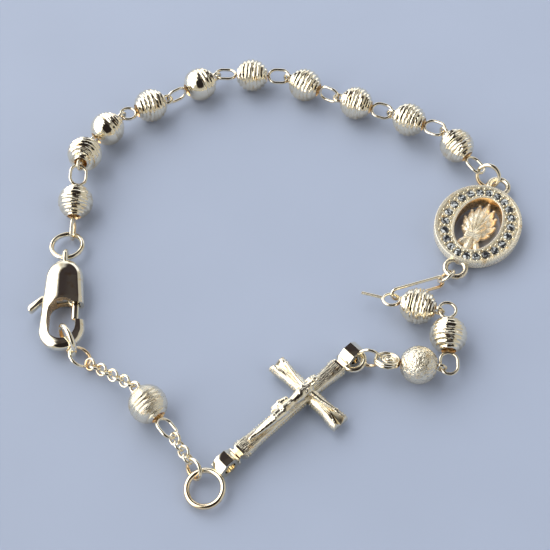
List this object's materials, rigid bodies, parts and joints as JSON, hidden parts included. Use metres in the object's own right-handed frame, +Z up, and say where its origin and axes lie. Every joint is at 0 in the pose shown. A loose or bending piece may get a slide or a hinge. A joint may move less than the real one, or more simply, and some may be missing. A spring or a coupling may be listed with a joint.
{
  "type": "rosary bracelet",
  "caption": "Gold-tone rosary bracelet lying closed: hollow cut beads on eye wires, oval stone-set medal, crucifix and lobster clasp, joined by rings and short chains.",
  "frame": {"origin": "on the surface it lies on, under the middle of the whole bracelet's box", "axes": "+Z up from the surface; +Y towards the bead opposite the crucifix, along the longest side; +X towards the medal"},
  "size_m": [0.0681, 0.0722, 0.0056],
  "materials": {
    "bead": "hollow balls, pale gold plated, cut with bright facets",
    "wire": "pale gold plated wire, polished",
    "chain": "pale gold plated wire, polished",
    "clasp": "pale gold plated casting, mirror polished",
    "crucifix": "pale gold plated casting, polished with fine grain lines",
    "medal": "pale gold plated casting, polished",
    "ring": "pale gold plated wire, polished",
    "pin": "steel pin, plated",
    "stone": "clear cut glass"
  },
  "bodies": {
    "bracelet": {"clasp_body": "clasp", "clasp_pin": "pin", "clasp_ring": "ring", "hook_ring": "ring", "end_ring": "ring", "chain_upper": "chain", "chain_lower": "chain", "chain_ring": "ring", "lower_ring": "ring", "upper_ring": "ring", "crucifix": "crucifix", "corpus": "crucifix", "coil_link": "ring", "loop_link": "ring", "long_loop": "ring", "medal_link": "ring", "medal": "medal", "medal_stones": "stone", "bead_01": "bead", "bead_02": "bead", "bead_03": "bead", "bead_04": "bead", "bead_05": "bead", "bead_06": "bead", "bead_07": "bead", "bead_08": "bead", "bead_09": "bead", "bead_10": "bead", "bead_11": "bead", "bead_12": "bead", "bead_13": "bead", "bead_14": "bead", "bead_wire_01": "wire", "bead_wire_02": "wire", "bead_wire_03": "wire", "bead_wire_04": "wire", "bead_wire_05": "wire", "bead_wire_06": "wire", "bead_wire_07": "wire", "bead_wire_08": "wire", "bead_wire_09": "wire", "bead_wire_10": "wire", "bead_wire_11": "wire", "bead_wire_12": "wire", "bead_wire_13": "wire", "bead_wire_14": "wire"},
    "clasp_lever": {"clasp_lever": "clasp"}
  },
  "joints": [
    {"name": "clasp_lever_hinge", "type": "hinge", "parent": "bracelet", "child": "clasp_lever", "pos_m": [-0.02816, -0.00613, 0.0016], "axis": [0, 0, -1], "range_deg": [0, 20], "stiffness_Nm_per_rad": 0.002}
  ]
}
